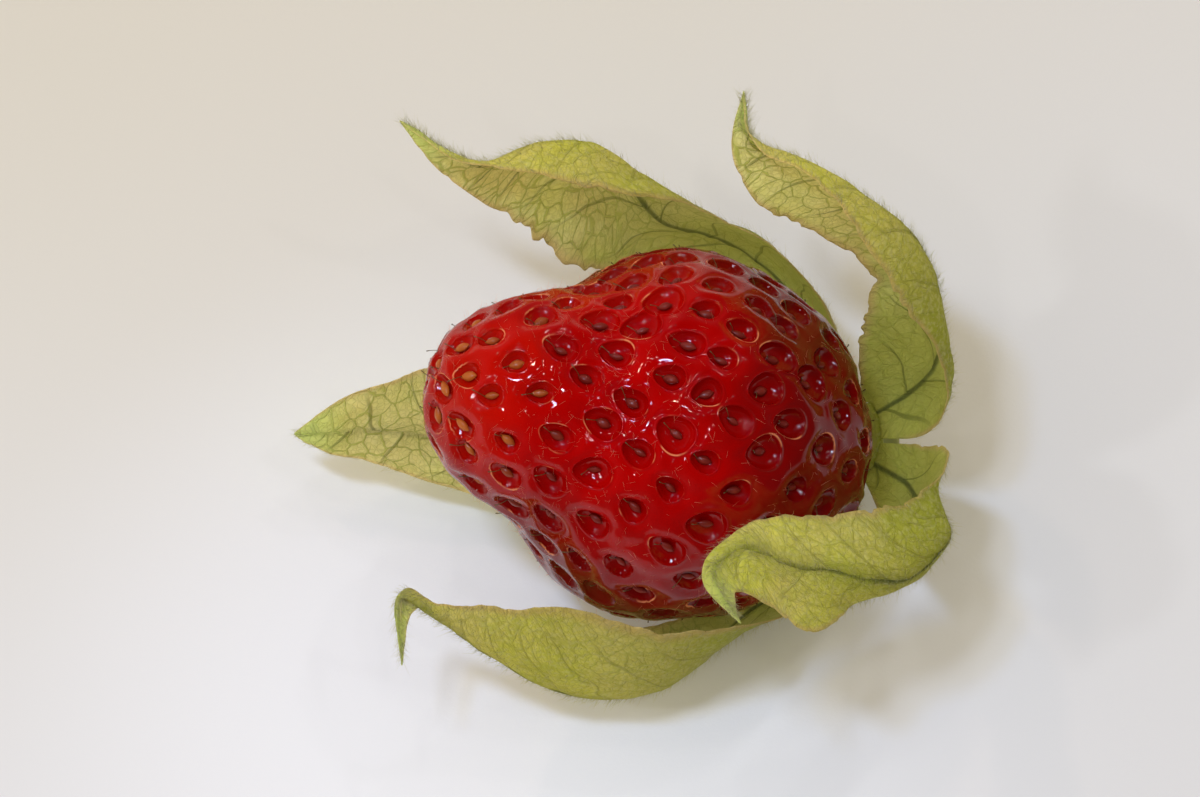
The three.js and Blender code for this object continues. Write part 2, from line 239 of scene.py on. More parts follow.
def smooth(low, high, value):
    """0 below low, 1 above high and a smooth step between them. With low above high it runs down."""
    share = np.clip((value - low) / (high - low), 0, 1)
    return share * share * (3 - 2 * share)


class Noise:
    """Smooth random values between -1 and 1, over points in space. Wavelengths are in millimetres."""

    SIZE = 24

    def __init__(self, seed):
        self.lattice = np.random.default_rng(seed).uniform(-1, 1, (self.SIZE,) * 3)

    def __call__(self, points, wavelength):
        place = np.asarray(points, float) / wavelength
        cell = np.floor(place).astype(int)
        part = place - cell
        part = part * part * (3 - 2 * part)
        total = 0.0
        for shift in product((0, 1), repeat=3):
            x, y, z = np.moveaxis((cell + shift) % self.SIZE, -1, 0)
            weight = np.abs(1 - np.array(shift) - part).prod(axis=-1)
            total = total + weight * self.lattice[x, y, z]
        return total

    def layered(self, points, wavelength, layers):
        return sum(self(points, wavelength / 2**n) / 2**n for n in range(layers))


# ------------ the berry's own frame

TO_TIP = np.array([-math.cos(TIP_RISE), 0, math.sin(TIP_RISE)])
SIDEWAYS = np.array([0.0, 1.0, 0.0])
UPWARDS = np.array([math.sin(TIP_RISE), 0, math.cos(TIP_RISE)])


def skin_radius(polar, around):
    even = sum(term * np.cos(n * polar) for n, term in enumerate(RADIUS_TERMS))
    lean = sum(term * np.cos(n * polar) for n, term in enumerate(LOPSIDED_TERMS))
    return even - lean * np.sin(polar) * np.cos(around - FLAT_SIDE)


def outwards_from_axis(around):
    around = np.asarray(around, float)[..., None]
    return np.cos(around) * SIDEWAYS + np.sin(around) * UPWARDS


def skin_point(polar, around):
    radius = np.asarray(skin_radius(polar, around))[..., None]
    polar = np.asarray(polar, float)[..., None]
    return BERRY_CENTRE + (np.cos(polar) * TO_TIP + np.sin(polar) * outwards_from_axis(around)) * radius


def skin_slope(polar, around, polar_step, around_step):
    """The way along the skin that a small change of the angles leads."""
    after = skin_point(polar + polar_step, around + around_step)
    return after - skin_point(polar - polar_step, around - around_step)


def skin_normal(polar, around):
    away_from_tip = skin_slope(polar, around, SMALL_ANGLE, 0)
    return unit(np.cross(skin_slope(polar, around, 0, SMALL_ANGLE), away_from_tip))


def on_axis(radius, around, beyond_base):
    """A point round the berry's axis, beyond its base."""
    base = skin_radius(math.pi, 0.0)
    return BERRY_CENTRE - TO_TIP * (base + beyond_base) + outwards_from_axis(around) * radius


# ------------ from the solids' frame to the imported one


def packed_shift():
    """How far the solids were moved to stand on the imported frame's origin, from the stalk's box."""
    foot = on_axis(0.0, 0.0, CUP_GAP + CUP_THICKNESS + CUP_CROWN + STALK_GAP)
    end = foot - TO_TIP * STALK_LENGTH
    reach = np.array([math.sin(TIP_RISE), 1, math.cos(TIP_RISE)])
    low = np.minimum(foot - reach * (STALK_RADIUS + STALK_FOOT), end - reach * STALK_RADIUS)
    high = np.maximum(foot + reach * (STALK_RADIUS + STALK_FOOT), end + reach * STALK_RADIUS)
    packed_low, packed_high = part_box("stalk_stub")
    packed_middle = (np.array(packed_low) + np.array(packed_high)) / 2 / METRES
    return packed_middle - (low + high) / 2


SHIFT = packed_shift()


def mesh_object(name, points, faces, material, attributes=None, slot=None):
    """A mesh from points in millimetres. Each array in the list 'faces' has faces of one number of sides."""
    mesh = bpy.data.meshes.new(name)
    corners = np.concatenate([part.ravel() for part in faces]).astype(np.int32)
    totals = np.concatenate([np.full(len(part), part.shape[1]) for part in faces]).astype(np.int32)
    mesh.vertices.add(len(points))
    mesh.vertices.foreach_set("co", ((points + SHIFT) * METRES).astype(np.float32).ravel())
    mesh.loops.add(len(corners))
    mesh.loops.foreach_set("vertex_index", corners)
    mesh.polygons.add(len(totals))
    mesh.polygons.foreach_set("loop_start", (np.cumsum(totals) - totals).astype(np.int32))
    mesh.polygons.foreach_set("loop_total", totals)
    mesh.update(calc_edges=True)
    for key, values in (attributes or {}).items():
        kind = "FLOAT" if values.ndim == 1 else "FLOAT_VECTOR"
        field = "value" if values.ndim == 1 else "vector"
        layer = mesh.attributes.new(key, kind, "POINT")
        layer.data.foreach_set(field, values.astype(np.float32).ravel())
    mesh.polygons.foreach_set("use_smooth", np.ones(len(totals), bool))
    mesh.materials.append(material)
    mesh.validate()
    obj = bpy.data.objects.new(name, mesh)
    bpy.context.scene.collection.objects.link(obj)
    if slot:
        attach(obj, "root")
    return obj


# ------------ material helpers


class Nodes:
    """Short ways to build the nodes of a material or a world."""

    def __init__(self, owner):
        owner.use_nodes = True
        self.owner = owner
        self.tree = owner.node_tree
        self.tree.nodes.clear()

    def add(self, kind, settings=None, **inputs):
        """A node. The names of its inputs have underscores for spaces."""
        node = self.tree.nodes.new(kind)
        for key, value in (settings or {}).items():
            setattr(node, key, value)
        for key, value in inputs.items():
            self.feed(node.inputs[key.replace("_", " ")], value)
        return node

    def feed(self, socket, value):
        if isinstance(value, bpy.types.NodeSocket):
            self.tree.links.new(value, socket)
        elif isinstance(value, tuple) and len(value) == 3 and socket.type == "RGBA":
            socket.default_value = (*value, 1)
        else:
            socket.default_value = value

    def maths(self, operation, *values):
        node = self.add("ShaderNodeMath", {"operation": operation})
        for socket, value in zip(node.inputs, values):
            self.feed(socket, value)
        return node.outputs[0]

    def step(self, value, low, high, start=0.0, end=1.0):
        node = self.add("ShaderNodeMapRange", {"interpolation_type": "SMOOTHSTEP"})
        for socket, number in zip(node.inputs, (value, low, high, start, end)):
            self.feed(socket, number)
        return node.outputs[0]

    def times(self, first, second):
        return self.maths("MULTIPLY", first, second)

    def mix(self, share, first, second):
        node = self.add("ShaderNodeMix", {"data_type": "RGBA"})
        for index, value in ((0, share), (6, first), (7, second)):
            self.feed(node.inputs[index], value)
        return node.outputs[2]

    def value(self, name):
        return self.add("ShaderNodeAttribute", {"attribute_name": name}).outputs["Fac"]

    def vector(self, name):
        return self.add("ShaderNodeAttribute", {"attribute_name": name}).outputs["Vector"]

    def place(self):
        return self.add("ShaderNodeTexCoord").outputs["Object"]

    def noise(self, where, scale, detail):
        return self.add("ShaderNodeTexNoise", Vector=where, Scale=scale, Detail=detail).outputs["Fac"]

    def warped(self, where, scale, amount):
        """Places pushed about by up to half of 'amount', so that lines drawn with them waver."""
        noise = self.add("ShaderNodeTexNoise", Vector=where, Scale=scale, Detail=2.0)
        centred = self.add("ShaderNodeVectorMath", {"operation": "SUBTRACT"})
        self.feed(centred.inputs[0], noise.outputs["Color"])
        self.feed(centred.inputs[1], (0.5, 0.5, 0.5))
        pushed = self.add("ShaderNodeVectorMath", {"operation": "MULTIPLY_ADD"})
        for socket, value in zip(pushed.inputs, (centred.outputs[0], (amount,) * 3, where)):
            self.feed(socket, value)
        return pushed.outputs[0]

    def cell_edge(self, where, scale):
        settings = {"feature": "DISTANCE_TO_EDGE"}
        node = self.add("ShaderNodeTexVoronoi", settings, Vector=where, Scale=scale, Randomness=0.95)
        return node.outputs["Distance"]

    def bump(self, height, distance, under=None):
        node = self.add("ShaderNodeBump", Height=height, Distance=distance, Strength=1.0)
        if under is not None:
            self.feed(node.inputs["Normal"], under)
        return node.outputs["Normal"]

    def split(self, vector):
        return self.add("ShaderNodeSeparateXYZ", Vector=vector).outputs

    def principled(self, **inputs):
        return self.add("ShaderNodeBsdfPrincipled", **inputs).outputs[0]

    def mixed_shader(self, share, first, second):
        node = self.add("ShaderNodeMixShader", Fac=share)
        self.feed(node.inputs[1], first)
        self.feed(node.inputs[2], second)
        return node.outputs[0]

    def finish(self, surface, output="ShaderNodeOutputMaterial"):
        self.add(output, Surface=surface)
        return self.owner


def new_material(name):
    return Nodes(bpy.data.materials.new(name))


# ------------ materials


def berry_skin():
    """Wet skin. 'reach' is 1 on a pit's rim; 'pit', 'tip', 'ripe' and 'far' are shares of 0..1."""
    n = new_material("berry_skin")
    place = n.place()
    reach = n.value("reach")
    blotch = n.noise(place, 140, 3)
    deep_red = n.mix(n.step(blotch, 0.3, 0.7), (0.32, 0.0003, 0.0004), (0.46, 0.0005, 0.0005))
    pale = n.mix(n.step(blotch, 0.35, 0.65), (0.36, 0.0008, 0.0005), (0.43, 0.008, 0.001))
    flesh = n.mix(n.value("tip"), deep_red, pale)
    flesh = n.mix(n.times(n.value("far"), 0.7), flesh, (0.3, 0.011, 0.0006))
    # Painted shade: darker towards the blunt end and low down.
    flesh = n.mix(n.times(n.value("deep_red"), 0.8), flesh, (0.1, 0.001, 0.0005))
    # Painted shade: the flesh is darker down in the pits.
    colour = n.mix(n.step(n.value("pit"), 0.3, 1.0, 0.0, 0.4), flesh, (0.3, 0.0004, 0.0005))
    # Painted highlight: pale peach glints along parts of the thin raised rims of the pits.
    rim_glint = n.times(n.step(reach, 1.0, 1.05), n.step(reach, 1.06, 1.12, 1.0, 0.0))
    rim_glint = n.times(rim_glint, n.step(n.noise(place, 300, 3), 0.55, 0.66, 0.0, 0.75))
    colour = n.mix(rim_glint, colour, (0.85, 0.3, 0.13))

    lip = n.times(n.step(reach, 0.93, 1.03), n.step(reach, 1.03, 1.15, 1.0, 0.0))
    rimmed = n.bump(lip, 0.00006)
    rippled = n.bump(n.noise(place, 900, 3), 0.00006, under=rimmed)
    skin = n.principled(
        Base_Color=colour,
        Roughness=0.45,
        IOR=1.33,
        Specular_IOR_Level=0.0,  # the wet coat alone gives the gloss
        Subsurface_Weight=0.1,
        Subsurface_Scale=0.0008,
        Subsurface_Radius=(1.0, 0.12, 0.06),
        Normal=n.bump(n.cell_edge(place, 5200), 0.000007, under=rippled),
        Coat_Weight=0.85,
        Coat_Roughness=0.035,
        Coat_IOR=1.4,
        Coat_Normal=n.bump(n.noise(place, 800, 2), 0.000035, under=rimmed),
    )
    return n.finish(skin)


def seed_coat():
    n = new_material("seed_coat")
    tone = n.noise(n.place(), 1500, 3)
    dark = n.mix(tone, (0.1, 0.004, 0.003), (0.26, 0.02, 0.01))
    ochre = n.mix(tone, (0.3, 0.03, 0.005), (0.55, 0.17, 0.02))
    coat = n.principled(
        Base_Color=n.mix(n.value("pale"), dark, ochre),
        Roughness=0.4,
        Specular_IOR_Level=0.2,
        Coat_Weight=0.3,
        Coat_Roughness=0.15,
        Normal=n.bump(tone, 0.00005),
    )
    return n.finish(coat)


def thread_brown():
    n = new_material("style_thread")
    brown = n.mix(n.noise(n.place(), 900, 2), (0.03, 0.025, 0.008), (0.16, 0.1, 0.02))
    return n.finish(n.principled(Base_Color=brown, Roughness=0.5))


def hair(name, low, high):
    """Hairs that shine a little and let light through, between two colours."""
    n = new_material(name)
    tone = n.mix(n.noise(n.place(), 400, 2), low, high)
    gloss = n.principled(Base_Color=tone, Roughness=0.45)
    through = n.add("ShaderNodeBsdfTranslucent", Color=tone).outputs[0]
    return n.finish(n.mixed_shader(0.4, gloss, through))


def husk_veins(n):
    """Shares of 0..1 for a lobe's large and small net veins, its slanting side veins and its keel.
    'net' gives millimetres along the keel and across from it, bent a little."""
    net = n.vector("net")
    bold = n.step(n.noise(n.place(), 260, 2), 0.35, 0.65, 0.6, 1.3)
    large = n.maths("DIVIDE", n.cell_edge(n.warped(net, 1.1, 0.5), 0.68), bold)
    small = n.cell_edge(n.warped(net, 2.5, 0.2), 2.2)
    # The distance in mm to the nearest of the slanting lines.
    branch = n.times(n.maths("PINGPONG", n.value("slant"), 0.5), BRANCH_GAP)
    branch = n.step(n.maths("DIVIDE", branch, bold), 0.04, 0.16, 1.0, 0.0)
    return {
        "large": n.step(large, 0.015, 0.07, 1.0, 0.0),
        "small": n.step(small, 0.02, 0.11, 1.0, 0.0),
        "branch": n.times(branch, n.step(n.value("edge"), 0.6, 0.95, 1.0, 0.25)),
        "keel": n.step(n.maths("ABSOLUTE", n.value("across")), 0.08, 0.4, 1.0, 0.0),
    }


def husk_inner_colour(n, veins, patch, speck):
    """Tan cells in a green net, greener all over near the cup."""
    tan = n.mix(n.step(patch, 0.35, 0.65), (0.98, 0.93, 0.43), (0.98, 0.82, 0.4))
    tan = n.mix(n.times(n.step(speck, 0.4, 0.7), 0.25), tan, (0.92, 0.86, 0.5))
    green_base = n.step(n.value("along"), 0.18, 0.62, 1.0, 0.0)
    inner = n.mix(n.step(patch, 0.5, 0.75), tan, (0.8, 0.8, 0.22))
    inner = n.mix(n.times(green_base, 0.8), inner, (0.56, 0.58, 0.07))
    strong = n.maths("SUBTRACT", 1.0, n.times(green_base, 0.6))
    inner = n.mix(n.times(n.times(veins["small"], strong), 0.22), inner, (0.46, 0.48, 0.09))
    return n.mix(n.times(n.times(veins["large"], strong), 0.72), inner, (0.4, 0.44, 0.07))


def husk_outer_colour(n, veins, patch, speck):
    """Yellow-green, greener near the cup and along the keel, with a faint net and pale specks."""
    green_base = n.step(n.value("along"), 0.25, 0.75, 0.85, 0.0)
    keel = n.maths("ABSOLUTE", n.value("across"))
    outer = n.mix(n.step(patch, 0.35, 0.68), (0.9, 0.93, 0.13), (0.98, 0.9, 0.26))
    outer = n.mix(green_base, outer, (0.34, 0.4, 0.04))
    outer = n.mix(n.times(veins["large"], 0.2), outer, (0.34, 0.4, 0.04))
    outer = n.mix(n.times(veins["small"], 0.25), outer, (0.42, 0.48, 0.04))
    outer = n.mix(n.times(n.step(speck, 0.45, 0.65), 0.3), outer, (0.97, 0.94, 0.5))
    return n.mix(n.step(keel, 0.3, 2.4, 0.35, 0.0), outer, (0.3, 0.36, 0.04))


def husk_paper():
    """Net-veined dried leaf that lets light through. 'inside' is 1 on the face towards the berry, 'along'
    is 0..1 to the tip, 'across' millimetres from the keel and 'edge' its share of the width."""
    n = new_material("husk_paper")
    place = n.place()
    inside = n.value("inside")
    along = n.value("along")
    patch = n.noise(place, 110, 3)
    speck = n.noise(place, 2600, 2)
    veins = husk_veins(n)
    outer = husk_outer_colour(n, veins, patch, speck)
    inner = husk_inner_colour(n, veins, patch, speck)
    colour = n.mix(inside, outer, inner)
    branch_strength = n.maths("MULTIPLY_ADD", inside, 0.43, 0.22)
    colour = n.mix(n.times(veins["branch"], branch_strength), colour, (0.1, 0.12, 0.025))
    keel_line = n.times(veins["keel"], n.step(along, 0.5, 0.8, 0.8, 0.15))
    colour = n.mix(keel_line, colour, (0.06, 0.085, 0.03))
    mottle = n.noise(place, 1500, 3)
    colour = n.mix(n.step(mottle, 0.42, 0.62, 0.14, 0.0), colour, (0.36, 0.38, 0.05))
    # Light green tips and brownish rims.
    colour = n.mix(n.step(along, 0.84, 0.98, 0.0, 0.75), colour, (0.8, 0.92, 0.3))
    colour = n.mix(n.times(n.value("rim"), 0.45), colour, (0.82, 0.52, 0.27))

    raised = n.maths("MAXIMUM", n.times(veins["large"], 0.8), n.times(veins["small"], 0.4))
    raised = n.maths("MAXIMUM", raised, veins["branch"])
    normal = n.bump(raised, 0.00011)
    normal = n.bump(n.noise(place, 900, 3), 0.0001, under=normal)
    normal = n.bump(speck, 0.00003, under=normal)
    leaf = n.principled(
        Base_Color=colour,
        Roughness=0.62,
        Specular_IOR_Level=0.12,
        Sheen_Weight=0.03,
        Sheen_Tint=(0.95, 0.95, 0.6),
        Normal=normal,
    )
    # Light crosses two faces of the shell, so each takes the square root of the leaf's colour.
    lit = n.add("ShaderNodeGamma", Color=colour, Gamma=0.5).outputs[0]
    through = n.add("ShaderNodeBsdfTranslucent", Color=lit, Normal=normal).outputs[0]
    return n.finish(n.mixed_shader(0.6, leaf, through))


def stalk_green():
    """Green outside, woody where it was cut."""
    n = new_material("stalk_green")
    streak = n.noise(n.place(), 500, 3)
    green = n.mix(streak, (0.22, 0.26, 0.06), (0.42, 0.42, 0.14))
    wood = n.mix(streak, (0.4, 0.3, 0.14), (0.6, 0.5, 0.28))
    rind = n.principled(
        Base_Color=n.mix(n.value("cut"), green, wood),
        Roughness=0.6,
        Sheen_Weight=0.2,
        Normal=n.bump(streak, 0.00006),
    )
    return n.finish(rind)


def floor_paper():
    """Pale card with painted light: cooler in front and warmer towards the back and the left, with
    painted shade a little to the right and a painted pool of light just in front of the husk.
    """
    n = new_material("floor_paper")
    place = n.place()
    x, y, _ = n.split(place)
    # Painted light: the card runs from cool in front to warm at the back and the left.
    across = n.maths("SUBTRACT", n.times(y, 9.0), n.times(x, 3.0))
    across = n.maths("ADD", across, n.times(n.noise(place, 9, 2), 0.3))
    colour = n.mix(n.step(across, -0.35, 0.85), (0.79, 0.81, 0.875), (0.69, 0.65, 0.567))
    # Painted light: paler just in front of the husk.
    aside = n.maths("POWER", n.maths("ADD", x, 0.004), 2.0)
    ahead = n.maths("POWER", n.maths("ADD", y, 0.026), 2.0)
    away = n.maths("SQRT", n.maths("ADD", aside, ahead))
    colour = n.mix(n.step(away, 0.015, 0.055, 1.0, 0.0), colour, (0.89, 0.91, 0.975))
    # Painted shade: a little darker to the right.
    colour = n.mix(n.step(x, 0.0, 0.05, 0.0, 0.38), colour, (0.72, 0.715, 0.725))
    card = n.principled(
        Base_Color=colour,
        Roughness=0.75,
        Specular_IOR_Level=0.2,
        Normal=n.bump(n.noise(place, 3000, 2), 0.00001),
    )
    return n.finish(card)


# ------------ tubes for threads and hairs


def ring_angles(sides):
    return np.arange(sides) * 2 * np.pi / sides


def tube_faces(count, steps, sides):
    """Sides and end caps of closed tubes, whose points run by tube, then step, then side."""
    first = (np.arange(count) * steps * sides)[:, None, None]
    level = first + (np.arange(steps - 1) * sides)[:, None]
    here = level + np.arange(sides)
    after = level + (np.arange(sides) + 1) % sides
    quads = np.stack([here, after, after + sides, here + sides], axis=-1).reshape(-1, 4)
    start_caps = first[:, 0] + np.arange(sides)[::-1]
    end_caps = first[:, 0] + (steps - 1) * sides + np.arange(sides)
    return [quads, start_caps, end_caps]


def tubes(lines, radii, sides):
    """Closed tubes along lines, given as (tube, point, xyz) and (tube, point)."""
    run = unit(lines[:, -1] - lines[:, 0])
    helper = np.where(np.abs(run[:, 2:3]) < 0.9, [[0.0, 0.0, 1.0]], [[1.0, 0.0, 0.0]])
    right = unit(np.cross(run, helper))
    up = np.cross(run, right)
    turn = ring_angles(sides)
    ring = np.cos(turn)[:, None] * right[:, None] + np.sin(turn)[:, None] * up[:, None]
    points = lines[:, :, None] + ring[:, None] * radii[:, :, None, None]
    return points.reshape(-1, 3), tube_faces(*radii.shape, sides)


def hairs(roots, directions, lengths, radius, droop):
    """Curved hairs of three sides that taper from 'radius' and bend by 'droop' of their length."""
    share = np.array([0.0, 0.5, 1.0])[None, :, None]
    span = lengths[:, None, None]
    lines = roots[:, None] + directions[:, None] * span * share + droop[:, None] * span * share**2
    taper = np.array([1.0, 0.7, 0.15])
    return tubes(lines, radius[:, None] * taper, 3)


# ------------ berry


def seed_places():
    """Polar and round angles of the seeds on their spiral, as in the solids."""
    steps = 400
    middle = (np.arange(steps) + 0.5) * np.pi / steps
    crowding = 1 + TIP_CROWDING * (1 + np.cos(middle)) / 2
    running = np.concatenate([[0], np.cumsum(crowding * skin_radius(middle, 0.0) ** 2 * np.sin(middle))])
    wanted = running[-1] * (np.arange(SEED_COUNT) + 0.5) / SEED_COUNT
    polar = np.interp(wanted, running, np.arange(steps + 1) * np.pi / steps)
    return polar, np.arange(SEED_COUNT) * GOLDEN_ANGLE


class Seeds:
    """Places, directions and sizes of the seeds and their pits."""

    def __init__(self):
        polar, around = seed_places()
        spread = RANDOM.uniform(-SEED_JITTER, SEED_JITTER, (2, SEED_COUNT))
        size = skin_radius(polar, around)
        polar = np.clip(polar + spread[0] / size, 0.02, np.pi)
        around = around + spread[1] / (size * np.maximum(np.sin(polar), 0.1))
        self.centre = skin_point(polar, around)
        self.normal = skin_normal(polar, around)
        forward = unit(skin_slope(polar, around, -SMALL_ANGLE, 0))
        sideways = np.cross(self.normal, forward)
        turn = RANDOM.uniform(-SEED_TURN, SEED_TURN, SEED_COUNT)[:, None]
        self.along = np.cos(turn) * forward + np.sin(turn) * sideways
        self.across = np.cross(self.normal, self.along)
        shrink = TIP_SEED_SCALE + (1 - TIP_SEED_SCALE) * smooth(0, 1.2, polar)
        pit_size = shrink * RANDOM.uniform(*PIT_SIZES, SEED_COUNT)
        self.pit_length = PIT_LENGTH * pit_size * RANDOM.uniform(*PIT_STRETCHES, SEED_COUNT)
        self.pit_width = PIT_WIDTH * pit_size * RANDOM.uniform(*PIT_NARROWNESS, SEED_COUNT)
        self.pit_depth = PIT_DEPTH * PIT_DEEPENING * (0.75 + 0.25 * smooth(0.2, 1.0, polar))
        self.pale = 1 - smooth(0.25, 0.6, polar + RANDOM.uniform(-0.12, 0.12, SEED_COUNT))
        self.slimness = RANDOM.uniform(*SEED_SLIMNESS, SEED_COUNT)
        self.size = (0.92 + 0.1 * self.pale) * RANDOM.uniform(*SEED_SIZES, SEED_COUNT)


def even_sphere(divisions):
    """Points and triangles spread evenly over a sphere, from an icosahedron."""
    golden = (1 + math.sqrt(5)) / 2
    corners = []
    for a in (-1, 1):
        for b in (-golden, golden):
            corners += [(0, a, b), (a, b, 0), (b, 0, a)]
    corners = unit(np.array(corners))
    near = np.linalg.norm(corners[:, None] - corners[None], axis=-1) < 1.1
    sides = [trio for trio in combinations(range(len(corners)), 3) if near[np.ix_(trio, trio)].all()]
    rows = [(a, b) for a in range(divisions + 1) for b in range(divisions + 1 - a)]
    index = {pair: i for i, pair in enumerate(rows)}
    share = np.array([(divisions - a - b, a, b) for a, b in rows]) / divisions
    small = []
    for a, b in rows:
        if a + b < divisions:
            small.append((index[a, b], index[a + 1, b], index[a, b + 1]))
        if a + b < divisions - 1:
            small.append((index[a + 1, b], index[a + 1, b + 1], index[a, b + 1]))
    small = np.array(small)
    points = []
    faces = []
    for n, side in enumerate(sides):
        trio = corners[list(side)]
        if np.dot(np.cross(trio[1] - trio[0], trio[2] - trio[0]), trio[0]) < 0:
            trio = trio[[0, 2, 1]]
        points.append(unit(share @ trio))
        faces.append(small + n * len(rows))
    points = np.concatenate(points)
    faces = np.concatenate(faces)
    _, first, same = np.unique(np.round(points, 6), axis=0, return_index=True, return_inverse=True)
    return points[first], same.reshape(-1)[faces]


def pit_field(points, seeds):
    """How far each point is from each pit, where 0 is a pit's middle and 1 is its rim."""
    away = points[:, None] - seeds.centre[None]
    lengthwise = np.einsum("psx,sx->ps", away, seeds.along)
    crosswise = np.einsum("psx,sx->ps", away, seeds.across)
    depth = np.einsum("psx,sx->ps", away, seeds.normal)
    pointed = 1 - PIT_POINTEDNESS * lengthwise / (seeds.pit_length / 2)
    ratio = (2 * lengthwise / seeds.pit_length) ** 2
    ratio += (2 * crosswise / (seeds.pit_width * np.clip(pointed, 0.6, 1.4))) ** 2
    ratio += (depth / PIT_FIELD_HEIGHT) ** 2
    return np.sqrt(ratio)


def nearest_pits(points, seeds):
    """Each point's place in its nearest pits, and how deep they are there, both softly blended."""
    reach = np.empty(len(points))
    depth = np.empty(len(points))
    block = 8000  # points worked on at once
    for start in range(0, len(points), block):
        chosen = slice(start, start + block)
        ratio = pit_field(points[chosen], seeds)
        nearest = ratio.min(axis=1)
        beyond = ratio - nearest[:, None]
        reach[chosen] = nearest - PIT_BLEND * np.log(np.exp(-beyond / PIT_BLEND).sum(axis=1))
        weight = np.exp(-4 * beyond)
        depth[chosen] = (weight * seeds.pit_depth).sum(axis=1) / weight.sum(axis=1)
    return reach, depth


def ridge(value, place, width):
    """A rounded ridge of height 1 where the value is near a place."""
    return np.exp(-(((value - place) / width) ** 2))


def berry_points(directions, seeds, noise):
    """Points of the dressed skin in directions from the berry's centre, and its fields for the material."""
    polar = np.arccos(np.clip(directions @ TO_TIP, -1, 1))
    around = np.arctan2(directions @ UPWARDS, directions @ SIDEWAYS)
    base = skin_point(polar, around)
    reach, depth = nearest_pits(base, seeds)
    bowl = (1 - np.clip(reach, 0, 1) ** 3.0) ** 0.8
    puff = 1 - np.exp(-np.maximum(reach - 1, 0) / PUFF_WIDTH)
    lift = PUFF_HEIGHT * puff - depth * bowl - SKIN_DRAW_IN
    lift += LIP_HEIGHT * ridge(reach, LIP_PLACE, LIP_WIDTH)
    lift += COLLAR_HEIGHT * ridge(reach, COLLAR_PLACE, COLLAR_WIDTH)
    # Uneven flesh, less so inside the pits.
    lift += SKIN_UNEVENNESS * noise.layered(base, 5.5, 3) * (0.6 + 0.4 * np.minimum(reach, 1.5) / 1.5)
    lift += SKIN_GRAIN * noise.layered(base + 40, 1.7, 2) * smooth(0.5, 1.3, reach)
    # Painted shade: the share of darkening grows towards the blunt end and low down.
    deep_red = smooth(0, 14, base[:, 0] + 3 * noise(base, 9.0)) + smooth(29, 18, base[:, 2])
    fields = {
        "pit": bowl,
        "tip": 1 - smooth(0.1, 0.75, polar + 0.25 * noise(base, 7.0)),
        "reach": np.clip(reach, 0, 2.5),
        "deep_red": np.clip(deep_red, 0, 1),
        "far": smooth(3, 13, base[:, 1]),
    }
    return base + skin_normal(polar, around) * lift[:, None], fields


def crowd_upwards(directions):
    """Moves points on a sphere towards its top, keeping the triangles' shapes: finer where most is seen."""
    level = directions[:, 2:3]
    shrink = np.sqrt((1 - level) / (1 + level + 1e-9)) / UPPER_FINENESS
    high = (1 - shrink**2) / (1 + shrink**2)
    return np.concatenate([unit(directions[:, :2]) * np.sqrt(1 - high**2), high], axis=1)


def berry(seeds, noise):
    directions, faces = even_sphere(SKIN_DIVISIONS)
    points, fields = berry_points(crowd_upwards(directions), seeds, noise)
    piece = mesh_object("berry_skin", points, [faces], berry_skin(), fields, "berry_skin")
    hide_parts("berry")


def seed_bodies(seeds):
    """Ridged, drop-shaped seeds lying in the pits, pointed at the end where the thread leaves."""
    rings = 11
    sides = 16
    along = -np.cos(np.linspace(0.12, np.pi - 0.12, rings))
    turn = ring_angles(sides)
    plump = (1 - along**2) * (1 - 0.15 * along)
    ridges = 1 + 0.09 * np.cos(6 * turn)
    points = []
    for s in range(SEED_COUNT):
        centre = seeds.centre[s] - seeds.normal[s] * (seeds.pit_depth[s] - SEED_LIFT)
        length = SEED_LENGTH * seeds.size[s] / 2
        width = SEED_WIDTH * seeds.slimness[s] * seeds.size[s] / 2
        ring = np.cos(turn)[:, None] * seeds.across[s] * width
        ring = ring + np.sin(turn)[:, None] * seeds.normal[s] * width * 0.75
        body = centre + along[:, None, None] * seeds.along[s] * length
        points.append(body + plump[:, None, None] * (ring * ridges[:, None])[None])
    faces = [part[:, ::-1] for part in tube_faces(SEED_COUNT, rings, sides)]
    pale = np.repeat(seeds.pale, rings * sides)
    mesh_object("seeds", np.reshape(points, (-1, 3)), faces, seed_coat(), {"pale": pale}, "berry_skin")


def style_threads(seeds):
    """The dried thread that stands up from the pointed end of each seed, with a small knob."""
    share = np.linspace(0, 1, 6)[None, :, None]
    tilt = RANDOM.uniform(-0.4, 0.4, SEED_COUNT)[:, None]
    length = RANDOM.uniform(0.55, 1.0, SEED_COUNT)[:, None, None]
    rise = unit(seeds.normal + 0.35 * seeds.along + tilt * seeds.across)
    lean = unit(seeds.along + tilt * 1.5 * seeds.across)
    root = seeds.centre - seeds.normal * (seeds.pit_depth[:, None] - THREAD_LIFT)
    root = root + seeds.along * (SEED_LENGTH * seeds.size[:, None] * 0.4)
    lines = root[:, None] + rise[:, None] * length * share + lean[:, None] * length * 0.5 * share**2
    radii = np.array([0.045, 0.03, 0.026, 0.026, 0.03, 0.055]) * np.ones((SEED_COUNT, 1))
    points, faces = tubes(lines, radii, 5)
    mesh_object("style_threads", points, faces, thread_brown(), None, "berry_skin")


